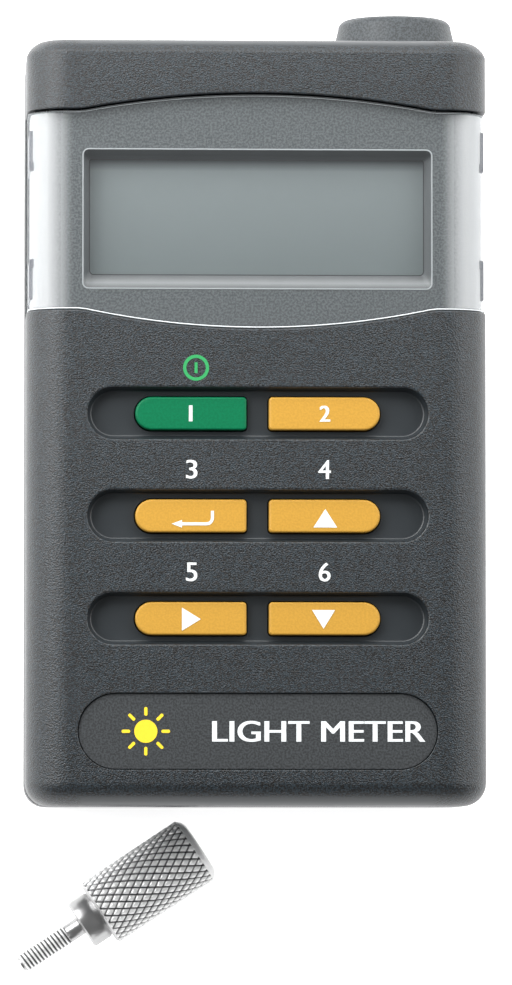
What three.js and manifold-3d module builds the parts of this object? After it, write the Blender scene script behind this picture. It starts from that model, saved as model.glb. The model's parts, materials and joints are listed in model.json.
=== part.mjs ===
// Handheld light meter, lying on its back with its mounting adapter beside it.
// Millimetres. +X to the right of the face, +Y towards the sensor end, +Z out of the face.
// The origin is the centre of the flat back, so the face is at z = THICKNESS.
import * as THREE from "three";
import { mergeVertices } from "three/addons/utils/BufferGeometryUtils.js";
import Module from "manifold-3d";

const wasm = await Module();
wasm.setup();

// Driving dimensions of the case.
const WIDTH = 64;
const LENGTH = 106.4;
const THICKNESS = 34;
const WALL = 2;
const GAP = 0.3; // clearance between neighbouring pieces
const PARTING_Z = 16; // joint between the two case halves
const PLAN_CORNER_R = 3.2;
const SIDE_FRONT_R = 6;
const SIDE_BACK_R = 4;
const TOP_FRONT_R = 2.5;
const BOTTOM_FRONT_R = 3.2;
const END_BACK_R = 3;

// Clear window: it lies in a band between two arched seams.
const WINDOW_SINK = 0.15; // how far it lies under the case surface
const WINDOW_WALL = 1.5;
const SEAM_HALF_SPAN = 24.4; // the seams are straight outside this
const UPPER_SEAM_Y = 43.2;
const UPPER_SEAM_RISE = 2.3;
const LOWER_SEAM_Y = 15.5;
const LOWER_SEAM_DROP = 2.6;
const SADDLE_HALF_WIDTH = 27.2;
const SADDLE_WALL = 1.4;
const SADDLE_Y = [9.5, 48.5];
const SADDLE_Z = THICKNESS - WINDOW_SINK - WINDOW_WALL - GAP - SADDLE_WALL;

// Display.
const LCD_CENTRE_Y = 28.6;
const LCD_VISIBLE = [46.6, 16.1];
const LCD_GLASS = [49.8, 20.6, 2.8];
const LCD_GLASS_Z = 26.6;
const BEZEL_OUTER = [49.4, 20.1];
const CARRIER_Y = [16.1, 42.6];
const CARRIER_FOOT_Z = 18;
const ZEBRA = [44, 1.8]; // conductive strip under the glass

// Keys: three pill-shaped recesses, two keys in each.
const ROW_Y = [1.1, -13.1, -27.3];
const RECESS = [47.1, 7.1];
const RECESS_DEPTH = 3;
const RECESS_FLOOR = 1.5;
const KEY = [15.4, 4.57];
const KEY_CENTRE_X = 9.26;
const KEY_TOP_Z = THICKNESS - 1;
const KEY_INNER_CORNER_R = 0.4;
const KEY_FLANGE = 0.7; // how far the flange under the floor stands out
const KEY_BOTTOM_Z = 27.3;

// Name plate in its own shallow recess.
const PLATE = [50.2, 11];
const PLATE_CENTRE_Y = -42.9;
const PLATE_RECESS_DEPTH = 1.1;
const PLATE_SINK = 0.4;
const PLATE_THICKNESS = 0.4;

// Circuit board, keypad and fasteners.
const PCB_Z = 22.3;
const PCB_THICKNESS = 1.6;
const PCB_HALF_WIDTH = 26.5;
const PCB_Y = [-41, 42];
const PCB_TOP_Z = PCB_Z + PCB_THICKNESS;
const MAT_Z = PCB_TOP_Z + GAP;
const CASE_SCREW_X = 25.2;
const CASE_SCREW_Y = [46.1, -46];
const PCB_SCREW_X = 24.5;
const PCB_SCREW_Y = [9.3, -36.5];
const BOSS_ROOF_Z = THICKNESS - WALL + 0.3; // posts run a little into the front wall
const CASE_BOSS_R = 3.1;
const CASE_SCREW_HOLE_R = 1.6;
const CASE_SCREW_HEAD_HOLE = { radius: 2.8, depth: 3.1 };
const PCB_BOSS_R = 2.2;
const PCB_SCREW_HOLE_R = 1.35;
const PROCESSOR = { size: [10, 7, 1.6], x: -4, y: 11.6 };
const AMPLIFIER = { size: [6, 5, 1.6], y: 33 };

// Battery bay, open at the back under its sliding door.
const BATTERY = [26.5, 48.5, 17.5];
const BATTERY_Y = -20.6;
const BATTERY_Z = 3.2;
const BAY_HALF_WIDTH = 13.85;
const BAY_Y = [-45, 10];
const BAY_WALL = 1.3;
const BAY_CEILING_Z = 21;
const DOOR_HALF_WIDTH = 16.5;
const DOOR_Y = [-48.5, 12.5];
const DOOR_Z = [0, 2];
const DOOR_TONGUE = 0.8;
const DOOR_TONGUE_Z = 1.1;
const DOOR_LEDGE = 2.6; // width of the ledge on each side of the door
const THUMB_GROOVE = { count: 4, pitch: 2, width: 1, halfLength: 7, depth: 0.5, fromEnd: 4 };
const SNAP = { size: [25, 4.4, 12], y: 6.1, z: 12 };
const BATTERY_PAD = [16, 20, 0.6];
const LEAD_SLOT = { halfWidth: 5, z: [14, 18] };
const LEAD_X = 3;
const LEAD_R = 0.7;

// Sensor in the top end face.
const SENSOR_X = 20.3;
const SENSOR_Z = 17;
const TOP_END_Y = LENGTH / 2;
const SENSOR_NECK_R = 6.2;
const SENSOR_PCB = { size: [8.1, 1.2, 15], place: [17.65, 48.2, 16.6] };
const SENSOR_HEADER = { size: [6, 5, 1.6], x: 17.6, y: 44.8 };

// Tripod insert in the bottom end face, and the loose adapter that screws into it.
const INSERT_Z = 10.5;
const INSERT_R = 3.2;
const INSERT_BORE_R = 1.6;
const INSERT_LENGTH = 5.9;
const INSERT_BOSS_R = 4.6;
const ADAPTER_TIP = [-32.3, -75.5];
const ADAPTER_ANGLE = THREE.MathUtils.degToRad(33.3);
const GRIP_R = 5;

// ---- Solids -------------------------------------------------------------------------

function toSolid(geometry) {
  const bare = geometry.clone();
  bare.deleteAttribute("normal");
  bare.deleteAttribute("uv");
  const merged = mergeVertices(bare, 1e-4);
  return new wasm.Manifold(
    new wasm.Mesh({
      numProp: 3,
      vertProperties: Float32Array.from(merged.attributes.position.array),
      triVerts: Uint32Array.from(merged.index.array),
    }),
  );
}

function toGeometry(solid) {
  const mesh = solid.getMesh();
  return new THREE.BufferGeometry()
    .setAttribute("position", new THREE.BufferAttribute(mesh.vertProperties, 3))
    .setIndex(new THREE.BufferAttribute(mesh.triVerts, 1));
}

const joined = (first, ...rest) => rest.reduce((all, one) => all.add(one), first);
const cut = (first, ...rest) => rest.reduce((left, one) => left.subtract(one), first);

function block([x0, x1], [y0, y1], [z0, z1]) {
  const box = new THREE.BoxGeometry(x1 - x0, y1 - y0, z1 - z0);
  return toSolid(box.translate((x0 + x1) / 2, (y0 + y1) / 2, (z0 + z1) / 2));
}

// An outline in X and Y, drawn out from z0 to z1.
function prism(outline, [z0, z1], arcSteps = 3) {
  const made = new THREE.ExtrudeGeometry(outline, {
    depth: z1 - z0,
    bevelEnabled: false,
    curveSegments: arcSteps,
  });
  return toSolid(made.translate(0, 0, z0));
}

function postZ(x, y, radius, [z0, z1], sides = 12) {
  const post = new THREE.CylinderGeometry(radius, radius, z1 - z0, sides);
  return toSolid(post.rotateX(Math.PI / 2).translate(x, y, (z0 + z1) / 2));
}

function postY(x, z, radius, [y0, y1], sides = 20) {
  const post = new THREE.CylinderGeometry(radius, radius, y1 - y0, sides);
  return toSolid(post.translate(x, (y0 + y1) / 2, z));
}

// A turned piece about its own Y axis, from [radius, y] pairs.
function turned(profile, sides) {
  return new THREE.LatheGeometry(
    profile.map(([radius, y]) => new THREE.Vector2(radius, y)),
    sides,
  );
}

// A rectangle about (0, 0) with a radius for each corner, anticlockwise from the lower left.
function roundedRectangle(width, height, [lowLeft, lowRight, topRight, topLeft]) {
  const [x, y] = [width / 2, height / 2];
  const quarter = Math.PI / 2;
  const outline = new THREE.Shape();
  outline.moveTo(-x + lowLeft, -y);
  outline.lineTo(x - lowRight, -y);
  outline.absarc(x - lowRight, -y + lowRight, lowRight, -quarter, 0);
  outline.lineTo(x, y - topRight);
  outline.absarc(x - topRight, y - topRight, topRight, 0, quarter);
  outline.lineTo(-x + topLeft, y);
  outline.absarc(-x + topLeft, y - topLeft, topLeft, quarter, 2 * quarter);
  outline.lineTo(-x, -y + lowLeft);
  outline.absarc(-x + lowLeft, -y + lowLeft, lowLeft, 2 * quarter, 3 * quarter);
  return outline;
}

const evenCorners = (width, height, radius) => roundedRectangle(width, height, Array(4).fill(radius));

// ---- Case envelope ------------------------------------------------------------------

// The rounded case body, drawn in by inset on every side: three profiles crossed.
function caseBody(inset) {
  const [width, length, height] = [WIDTH, LENGTH, THICKNESS].map((size) => size - 2 * inset);
  const inner = (radius) => Math.max(radius - inset, 0.5);
  const middle = THICKNESS / 2;

  const plan = prism(evenCorners(width, length, inner(PLAN_CORNER_R)), [inset, THICKNESS - inset]);

  const back = inner(SIDE_BACK_R);
  const front = inner(SIDE_FRONT_R);
  const across = new THREE.ExtrudeGeometry(roundedRectangle(width, height, [back, back, front, front]), {
    depth: length + 2,
    bevelEnabled: false,
    curveSegments: 3,
  });
  across.rotateX(Math.PI / 2).translate(0, length / 2 + 1, middle);

  const end = inner(END_BACK_R);
  const ends = [end, end, inner(TOP_FRONT_R), inner(BOTTOM_FRONT_R)];
  const along = new THREE.ExtrudeGeometry(roundedRectangle(length, height, ends), {
    depth: width + 2,
    bevelEnabled: false,
    curveSegments: 2,
  });
  const turn = new THREE.Matrix4().makeBasis(
    new THREE.Vector3(0, 1, 0),
    new THREE.Vector3(0, 0, 1),
    new THREE.Vector3(1, 0, 0),
  );
  along.applyMatrix4(turn).translate(-width / 2 - 1, 0, middle);

  return plan.intersect(toSolid(across)).intersect(toSolid(along));
}

// Height of a seam above its straight ends at x, an arc of the given rise.
function seamArch(x, rise) {
  if (Math.abs(x) >= SEAM_HALF_SPAN) return 0;
  const radius = (SEAM_HALF_SPAN ** 2 + rise ** 2) / (2 * rise);
  return Math.sqrt(radius ** 2 - x ** 2) - (radius - rise);
}

// The band between the two seams, drawn in by inset, over the given heights.
function seamBand(inset, heights) {
  const steps = 10;
  const xs = Array.from({ length: steps + 1 }, (_, i) => SEAM_HALF_SPAN * ((2 * i) / steps - 1));
  const across = [-WIDTH, ...xs, WIDTH];
  const lower = across.map((x) => [x, LOWER_SEAM_Y + inset - seamArch(x, LOWER_SEAM_DROP)]);
  const upper = across.map((x) => [x, UPPER_SEAM_Y - inset + seamArch(x, UPPER_SEAM_RISE)]);
  const outline = new THREE.Shape([...lower, ...upper.reverse()].map(([x, y]) => new THREE.Vector2(x, y)));
  return prism(outline, heights);
}

const EVERYWHERE = [-200, 200];
const ABOVE_PARTING = [PARTING_Z + GAP / 2, 200];
const BELOW_PARTING = [-200, PARTING_Z - GAP / 2];
const OVER_FACE = [THICKNESS - RECESS_DEPTH, 60];

const pill = ([width, height]) => evenCorners(width, height, height / 2 - 0.001);
const grown = ([width, height], by) => [width + 2 * by, height + 2 * by];

// Outline of a key, round at its outer end: side is -1 for the left column, 1 for the right.
function keyOutline(side, grow) {
  const [width, height] = grown(KEY, grow);
  const round = height / 2 - 0.001;
  const square = KEY_INNER_CORNER_R;
  const corners = side < 0 ? [round, square, square, round] : [square, round, round, square];
  return roundedRectangle(width, height, corners);
}

const KEYS = [
  { name: "key_time", side: -1, row: 0 },
  { name: "key_mode", side: 1, row: 0 },
  { name: "key_enter", side: -1, row: 1 },
  { name: "key_up", side: 1, row: 1 },
  { name: "key_right", side: -1, row: 2 },
  { name: "key_down", side: 1, row: 2 },
];

const caseScrewPlaces = CASE_SCREW_Y.flatMap((y) => [-CASE_SCREW_X, CASE_SCREW_X].map((x) => [x, y]));
const pcbScrewPlaces = PCB_SCREW_Y.flatMap((y) => [-PCB_SCREW_X, PCB_SCREW_X].map((x) => [x, y]));

// ---- Case ---------------------------------------------------------------------------

const sensorHole = () =>
  postY(SENSOR_X, SENSOR_Z, SENSOR_NECK_R + GAP, [TOP_END_Y - WALL - 1, TOP_END_Y + 1]);

function frontCase() {
  let shell = cut(caseBody(0), caseBody(WALL), seamBand(-GAP / 2, EVERYWHERE));

  // The bridge under the window, with a rib up to the shell behind each seam.
  const windowBed = caseBody(WINDOW_SINK + WINDOW_WALL + GAP);
  const saddleX = [-SADDLE_HALF_WIDTH, SADDLE_HALF_WIDTH];
  const saddle = block(saddleX, SADDLE_Y, [SADDLE_Z, THICKNESS]);
  const ribs = cut(
    block(saddleX, SADDLE_Y, [SADDLE_Z, THICKNESS - 1]),
    seamBand(-GAP / 2, EVERYWHERE),
  );
  shell = joined(shell, saddle.intersect(windowBed), ribs.intersect(caseBody(0.5)));
  const lcdOpening = evenCorners(BEZEL_OUTER[0] + 2 * GAP, BEZEL_OUTER[1] + 2 * GAP, 0.5);
  shell = shell.subtract(prism(lcdOpening, EVERYWHERE).translate(0, LCD_CENTRE_Y, 0));

  // Key recesses: walls and floor first, then the hollow and the two key holes.
  const floorZ = THICKNESS - RECESS_DEPTH;
  for (const y of ROW_Y) {
    const tray = prism(pill(grown(RECESS, RECESS_FLOOR)), [floorZ - RECESS_FLOOR, THICKNESS - 1]);
    shell = joined(shell, tray.translate(0, y, 0));
  }
  for (const y of ROW_Y) shell = shell.subtract(prism(pill(RECESS), OVER_FACE).translate(0, y, 0));
  for (const { side, row } of KEYS) {
    const hole = prism(keyOutline(side, GAP + 0.05), [floorZ - 5, THICKNESS]);
    shell = shell.subtract(hole.translate(side * KEY_CENTRE_X, ROW_Y[row], 0));
  }
  const plateRecess = prism(pill(PLATE), [THICKNESS - PLATE_RECESS_DEPTH, 60]);
  shell = shell.subtract(plateRecess.translate(0, PLATE_CENTRE_Y, 0));

  // Screw posts.
  for (const [x, y] of caseScrewPlaces) {
    shell = joined(shell, postZ(x, y, CASE_BOSS_R, [PARTING_Z, BOSS_ROOF_Z]));
    shell = shell.subtract(postZ(x, y, CASE_SCREW_HOLE_R, [0, 26]));
  }
  for (const [x, y] of pcbScrewPlaces) {
    shell = joined(shell, postZ(x, y, PCB_BOSS_R, [MAT_Z, BOSS_ROOF_Z], 10));
    shell = shell.subtract(postZ(x, y, PCB_SCREW_HOLE_R, [0, 30], 8));
  }
  shell = shell.subtract(sensorHole());
  return shell.intersect(block(EVERYWHERE, EVERYWHERE, ABOVE_PARTING));
}

function rearCase() {
  let shell = cut(caseBody(0), caseBody(WALL));
  const floor = WALL - 0.1;

  // Walls and ceiling of the battery bay, and the ledge that the door slides on.
  const bayOuter = block(
    [-BAY_HALF_WIDTH - BAY_WALL, BAY_HALF_WIDTH + BAY_WALL],
    [BAY_Y[0] - BAY_WALL, BAY_Y[1] + BAY_WALL],
    [floor, BAY_CEILING_Z + 1],
  );
  const ledge = block(
    [-DOOR_HALF_WIDTH - DOOR_LEDGE, DOOR_HALF_WIDTH + DOOR_LEDGE],
    [-LENGTH / 2 + 1, DOOR_Y[1] + 2],
    [floor, DOOR_Z[1] + GAP + 1.5],
  );
  shell = joined(shell, bayOuter, ledge);

  for (const [x, y] of caseScrewPlaces) {
    shell = joined(shell, postZ(x, y, CASE_BOSS_R + 0.3, [floor, PARTING_Z]));
  }
  const insertBoss = postY(0, INSERT_Z, INSERT_BOSS_R, [-LENGTH / 2 + 1, BAY_Y[0] - 0.5], 16);
  shell = joined(shell, insertBoss);
  shell = shell.intersect(caseBody(0));

  shell = cut(
    shell.intersect(block(EVERYWHERE, EVERYWHERE, BELOW_PARTING)).add(
      bayOuter.intersect(block(EVERYWHERE, EVERYWHERE, [PARTING_Z - 1, 200])),
    ),
    block([-BAY_HALF_WIDTH, BAY_HALF_WIDTH], BAY_Y, [-1, BAY_CEILING_Z]),
    // lead slot in the upper end wall of the bay
    block([-LEAD_SLOT.halfWidth, LEAD_SLOT.halfWidth], [BAY_Y[1] - 1, BAY_Y[1] + 3], LEAD_SLOT.z),
    // door track: the plate, then the grooves that its edges run in
    block([-DOOR_HALF_WIDTH - GAP, DOOR_HALF_WIDTH + GAP], [-60, DOOR_Y[1] + GAP], [-1, DOOR_Z[1] + GAP]),
    block(
      [-DOOR_HALF_WIDTH - DOOR_TONGUE - GAP, DOOR_HALF_WIDTH + DOOR_TONGUE + GAP],
      [-60, DOOR_Y[1] + GAP],
      [DOOR_TONGUE_Z - GAP, DOOR_Z[1] + GAP],
    ),
    postY(0, INSERT_Z, INSERT_R + GAP, [-60, BAY_Y[0] - BAY_WALL - 0.2], 16),
    sensorHole(),
  );
  for (const [x, y] of caseScrewPlaces) {
    const headHole = postZ(x, y, CASE_SCREW_HEAD_HOLE.radius, [-1, CASE_SCREW_HEAD_HOLE.depth]);
    shell = cut(shell, headHole, postZ(x, y, CASE_SCREW_HOLE_R, [-1, 30]));
  }
  return shell;
}

// ---- Display ------------------------------------------------------------------------

function displayWindow() {
  const skin = cut(caseBody(WINDOW_SINK), caseBody(WINDOW_SINK + WINDOW_WALL));
  return skin.intersect(seamBand(GAP / 2, ABOVE_PARTING));
}

function lcdBezel() {
  const height = [LCD_GLASS_Z + LCD_GLASS[2] + GAP, THICKNESS - WINDOW_SINK - WINDOW_WALL - GAP];
  return cut(
    prism(evenCorners(...BEZEL_OUTER, 0.5), height),
    prism(evenCorners(...LCD_VISIBLE, 0.5), EVERYWHERE),
  );
}

function lcdCarrier() {
  const [y0, y1] = CARRIER_Y;
  const bed = caseBody(WINDOW_SINK + WINDOW_WALL + GAP);
  const middle = SADDLE_HALF_WIDTH + GAP;
  const [glassX, glassY] = LCD_GLASS.map((size) => size / 2 + GAP);
  const pocketY = [LCD_CENTRE_Y - glassY, LCD_CENTRE_Y + glassY];
  return cut(
    bed.intersect(block(EVERYWHERE, CARRIER_Y, [CARRIER_FOOT_Z, 60])),
    block([-middle, middle], [y0 - 1, y1 + 1], [SADDLE_Z - GAP, 60]),
    block([-PCB_HALF_WIDTH - 0.7, PCB_HALF_WIDTH + 0.7], [y0 - 1, y1 + 1], [0, MAT_Z]),
    block([-glassX, glassX], pocketY, [LCD_GLASS_Z - GAP, 60]),
    // slot for the conductive strip
    block([-ZEBRA[0] / 2 - GAP, ZEBRA[0] / 2 + GAP], [pocketY[0] + 0.2, pocketY[0] + 2.6], [0, 60]),
  );
}

// ---- Keypad and boards --------------------------------------------------------------

function key(side) {
  const cap = prism(keyOutline(side, 0), [KEY_BOTTOM_Z + 0.5, KEY_TOP_Z], 4);
  const floorUnderside = THICKNESS - RECESS_DEPTH - RECESS_FLOOR;
  const flange = prism(keyOutline(side, KEY_FLANGE), [KEY_BOTTOM_Z, floorUnderside - GAP], 2);
  return joined(cap, flange);
}

function keypadMat() {
  const sheet = prism(evenCorners(38, ROW_Y[0] - ROW_Y[2] + 9, 1.5), [MAT_Z, MAT_Z + 1]);
  const domes = KEYS.map(({ side, row }) =>
    postZ(side * KEY_CENTRE_X, ROW_Y[row], 1.9, [MAT_Z + 0.5, KEY_BOTTOM_Z - 1], 8),
  );
  return joined(sheet.translate(0, (ROW_Y[0] + ROW_Y[2]) / 2, 0), ...domes);
}

function mainPcb() {
  const board = block([-PCB_HALF_WIDTH, PCB_HALF_WIDTH], PCB_Y, [PCB_Z, PCB_TOP_Z]);
  return cut(board, ...pcbScrewPlaces.map(([x, y]) => postZ(x, y, 1.4, [0, 60], 8)));
}

// ---- Power --------------------------------------------------------------------------

function batteryDoor() {
  const tongueX = DOOR_HALF_WIDTH + DOOR_TONGUE;
  const grooves = Array.from({ length: THUMB_GROOVE.count }, (_, i) => {
    const y = DOOR_Y[0] + THUMB_GROOVE.fromEnd + THUMB_GROOVE.pitch * i;
    return block(
      [-THUMB_GROOVE.halfLength, THUMB_GROOVE.halfLength],
      [y, y + THUMB_GROOVE.width],
      [-1, THUMB_GROOVE.depth],
    );
  });
  const door = joined(
    block([-DOOR_HALF_WIDTH, DOOR_HALF_WIDTH], DOOR_Y, DOOR_Z),
    block([-tongueX, tongueX], DOOR_Y, [DOOR_TONGUE_Z, DOOR_Z[1]]),
  );
  return cut(door, ...grooves);
}

function lead(x) {
  const points = [
    [x, BAY_Y[1] - 1.4, 16],
    [x, BAY_Y[1] + 2, 16],
    [x, BAY_Y[1] + 4.2, 16.8],
    [x, BAY_Y[1] + 5, 19],
    [x, BAY_Y[1] + 5, PCB_Z - GAP],
  ].map((p) => new THREE.Vector3(...p));
  const section = new THREE.Shape().absarc(0, 0, LEAD_R, 0, 2 * Math.PI);
  return new THREE.ExtrudeGeometry(section, {
    steps: 12,
    curveSegments: 4,
    bevelEnabled: false,
    extrudePath: new THREE.CatmullRomCurve3(points),
  });
}

// ---- Sensor, fasteners and adapter ----------------------------------------------------

const sensorHood = () =>
  turned(
    [
      [4.7, -3.4],
      [7.2, -3.4],
      [7.2, -2.3],
      [SENSOR_NECK_R, -2.3],
      [SENSOR_NECK_R, GAP],
      [8.6, GAP],
      [8, 3.4],
      [7.1, 4.4],
      [5.3, 4.4],
      [5.3, 1.9],
      [4.7, 1.9],
      [4.7, -3.4],
    ],
    24,
  );

const screw = (headR, headHeight, shankR, length) =>
  turned(
    [
      [0, 0],
      [headR, 0],
      [headR, headHeight],
      [shankR, headHeight],
      [shankR, length - shankR],
      [0, length],
    ],
    10,
  ).rotateX(Math.PI / 2);

const tripodInsert = () =>
  turned(
    [
      [INSERT_BORE_R, 0],
      [INSERT_R, 0],
      [INSERT_R, INSERT_LENGTH],
      [INSERT_BORE_R, INSERT_LENGTH],
      [INSERT_BORE_R, 0],
    ],
    16,
  );

// Threaded stud, neck, collar and grip, turned in one piece, from the stud's tip.
const mountingAdapter = () =>
  turned(
    [
      [0, 0],
      [1, 0],
      [1.5, 0.5],
      [1.5, 7.8],
      [1.3, 8],
      [1.3, 10.1],
      [3.6, 10.3],
      [3.6, 13.2],
      [4.5, 13.2],
      [GRIP_R, 13.7],
      [GRIP_R, 29.4],
      [4.3, 30.3],
      [0, 30.3],
    ],
    20,
  );

// ---- Assembly -----------------------------------------------------------------------

const finishes = {
  case_plastic: ["#484e52", 0.62, 0],
  window_plastic: ["#8d9497", 0.12, 0],
  bezel_plastic: ["#4a4e50", 0.6, 0],
  carrier_plastic: ["#e6e6e3", 0.5, 0],
  lcd_glass: ["#8c9594", 0.3, 0],
  key_orange: ["#eeae4a", 0.45, 0],
  key_green: ["#2c8a60", 0.45, 0],
  silicone: ["#8f8f8c", 0.8, 0],
  plate: ["#4c4f51", 0.5, 0],
  board: ["#2f6a45", 0.55, 0],
  component_black: ["#222222", 0.5, 0],
  hood_plastic: ["#6b7174", 0.4, 0],
  diffuser: ["#f1f1ec", 0.6, 0],
  steel: ["#b9bcc0", 0.3, 1],
  brass: ["#b8944a", 0.35, 1],
  battery_jacket: ["#3a3d40", 0.4, 0.3],
  foam: ["#333333", 0.95, 0],
  lead_red: ["#b02a25", 0.5, 0],
  lead_black: ["#202020", 0.5, 0],
};

function materialOf(slot) {
  const [color, roughness, metalness] = finishes[slot];
  return new THREE.MeshStandardMaterial({ name: slot, color, roughness, metalness });
}

// Adds one named piece to a group. shape is a geometry or a solid.
function piece(group, name, slot, shape, place = [0, 0, 0]) {
  const geometry = shape.isBufferGeometry ? shape : toGeometry(shape);
  const mesh = new THREE.Mesh(geometry, materialOf(slot));
  mesh.name = name;
  mesh.position.set(...place);
  group.add(mesh);
  return mesh;
}

const meter = new THREE.Group();

const housing = new THREE.Group();
meter.add(housing);
piece(housing, "front_case", "case_plastic", frontCase());
piece(housing, "rear_case", "case_plastic", rearCase());
const plateZ = THICKNESS - PLATE_SINK - PLATE_THICKNESS;
const plateOutline = pill(grown(PLATE, -GAP));
piece(housing, "name_plate", "plate", prism(plateOutline, [0, PLATE_THICKNESS]), [0, PLATE_CENTRE_Y, plateZ]);
caseScrewPlaces.forEach((place, i) => {
  piece(housing, `case_screw_${i + 1}`, "steel", screw(2.4, 1.9, 1.3, 23), [...place, 0.9]);
});
piece(housing, "tripod_insert", "brass", tripodInsert(), [0, -LENGTH / 2 + 0.2, INSERT_Z]);

const display = new THREE.Group();
meter.add(display);
piece(display, "display_window", "window_plastic", displayWindow());
piece(display, "lcd_bezel", "bezel_plastic", lcdBezel(), [0, LCD_CENTRE_Y, 0]);
piece(display, "lcd_glass", "lcd_glass", new THREE.BoxGeometry(...LCD_GLASS), [
  0,
  LCD_CENTRE_Y,
  LCD_GLASS_Z + LCD_GLASS[2] / 2,
]);
piece(display, "lcd_carrier", "carrier_plastic", lcdCarrier());
const zebraHeight = LCD_GLASS_Z - GAP - MAT_Z - 0.05;
piece(display, "zebra_connector", "silicone", new THREE.BoxGeometry(...ZEBRA, zebraHeight), [
  0,
  LCD_CENTRE_Y - LCD_GLASS[1] / 2 + 1.1,
  MAT_Z + zebraHeight / 2,
]);

const keypad = new THREE.Group();
meter.add(keypad);
piece(keypad, "keypad_mat", "silicone", keypadMat());
for (const { name, side, row } of KEYS) {
  const slot = name === "key_time" ? "key_green" : "key_orange";
  piece(keypad, name, slot, key(side), [side * KEY_CENTRE_X, ROW_Y[row], 0]);
}

const electronics = new THREE.Group();
meter.add(electronics);
piece(electronics, "main_pcb", "board", mainPcb());
piece(electronics, "processor_chip", "component_black", new THREE.BoxGeometry(...PROCESSOR.size), [
  PROCESSOR.x,
  PROCESSOR.y,
  PCB_TOP_Z + GAP + PROCESSOR.size[2] / 2,
]);
piece(electronics, "amplifier_chip", "component_black", new THREE.BoxGeometry(...AMPLIFIER.size), [
  SENSOR_X,
  AMPLIFIER.y,
  PCB_Z - GAP - AMPLIFIER.size[2] / 2,
]);
pcbScrewPlaces.forEach((place, i) => {
  piece(electronics, `pcb_screw_${i + 1}`, "steel", screw(2.2, 1.3, 1, 8), [...place, PCB_Z - GAP - 1.3]);
});
piece(electronics, "sensor_pcb", "board", new THREE.BoxGeometry(...SENSOR_PCB.size), SENSOR_PCB.place);
piece(electronics, "sensor_header", "component_black", new THREE.BoxGeometry(...SENSOR_HEADER.size), [
  SENSOR_HEADER.x,
  SENSOR_HEADER.y,
  PCB_Z + PCB_THICKNESS / 2,
]);

const power = new THREE.Group();
meter.add(power);
piece(power, "battery", "battery_jacket", new THREE.BoxGeometry(...BATTERY), [
  0,
  BATTERY_Y,
  BATTERY_Z + BATTERY[2] / 2,
]);
piece(power, "battery_snap", "component_black", new THREE.BoxGeometry(...SNAP.size), [0, SNAP.y, SNAP.z]);
piece(power, "battery_lead_red", "lead_red", lead(LEAD_X));
piece(power, "battery_lead_black", "lead_black", lead(-LEAD_X));
piece(power, "battery_door", "case_plastic", batteryDoor());
piece(power, "battery_pad", "foam", new THREE.BoxGeometry(...BATTERY_PAD), [
  0,
  BATTERY_Y,
  DOOR_Z[1] + GAP + BATTERY_PAD[2] / 2,
]);

const sensor = new THREE.Group();
sensor.position.set(SENSOR_X, TOP_END_Y, SENSOR_Z);
meter.add(sensor);
piece(sensor, "sensor_hood", "hood_plastic", sensorHood());
piece(sensor, "sensor_diffuser", "diffuser", new THREE.CylinderGeometry(5, 5, 1.4, 24), [0, 2.9, 0]);
piece(
  sensor,
  "photodiode",
  "steel",
  turned(
    [
      [0, -4.1],
      [2, -4.1],
      [2, -2.2],
      [4.1, -2.2],
      [4.1, 1.7],
      [0, 1.7],
    ],
    16,
  ),
);

// The adapter lies on the surface that the meter lies on, its axis level.
const adapter = new THREE.Group();
adapter.position.set(...ADAPTER_TIP, GRIP_R);
adapter.rotation.z = ADAPTER_ANGLE - Math.PI / 2;
meter.add(adapter);
piece(adapter, "mounting_adapter", "steel", mountingAdapter());

export default meter;
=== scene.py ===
"""Handheld light meter on its back, with its loose mounting adapter beside it."""
import json
import math

import bmesh
import bpy
from mathutils import Matrix, Vector
from mathutils.geometry import delaunay_2d_cdt


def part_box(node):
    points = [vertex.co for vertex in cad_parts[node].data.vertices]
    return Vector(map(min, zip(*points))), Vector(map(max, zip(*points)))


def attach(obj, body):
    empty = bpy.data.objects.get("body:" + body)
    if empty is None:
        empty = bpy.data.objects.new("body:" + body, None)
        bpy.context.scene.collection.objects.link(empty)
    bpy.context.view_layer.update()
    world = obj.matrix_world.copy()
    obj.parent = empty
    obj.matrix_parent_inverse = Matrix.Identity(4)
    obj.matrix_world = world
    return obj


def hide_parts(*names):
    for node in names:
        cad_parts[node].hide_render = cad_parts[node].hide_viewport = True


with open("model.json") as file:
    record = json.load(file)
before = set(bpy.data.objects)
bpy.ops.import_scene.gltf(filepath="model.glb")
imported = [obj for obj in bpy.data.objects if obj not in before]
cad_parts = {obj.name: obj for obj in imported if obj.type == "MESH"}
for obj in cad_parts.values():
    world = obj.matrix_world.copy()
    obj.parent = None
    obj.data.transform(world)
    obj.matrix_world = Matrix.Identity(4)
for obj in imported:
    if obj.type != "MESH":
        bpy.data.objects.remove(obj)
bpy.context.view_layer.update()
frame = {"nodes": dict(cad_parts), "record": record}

# Pieces are built in millimetres and scaled to metres once, in Skin.build.
MM = 0.001


def box_mm(node):
    low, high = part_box(node)
    return low / MM, high / MM


def middle(node):
    low, high = box_mm(node)
    return (low + high) / 2


# ---- Sizes ---------------------------------------------------------------------------------
_, FRONT_HIGH = box_mm("front_case")
REAR_LOW, _ = box_mm("rear_case")
HALF_WIDTH = FRONT_HIGH.x
HALF_LENGTH = FRONT_HIGH.y
FACE_Z = FRONT_HIGH.z
PARTING_Z = 16.0
UPPER_GAP = 0.3
LOWER_GAP = 0.04
PARTING_GAP = 0.24
EDGE_R = 0.18  # radius on the edges along the seams
LIT_EDGE_R = 0.34  # softer edge of the body under the window
CRISP_EDGE_R = 0.04  # lower edge of the window
FRONT_SIDE_R = 6.0
REAR_SIDE_R = 4.0
TOP_END_R = 3.15
BOTTOM_END_R = 3.3
REAR_END_R = 3.0
TOP_CREASE = math.radians(20)  # angle at which the top rounding meets the face

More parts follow.
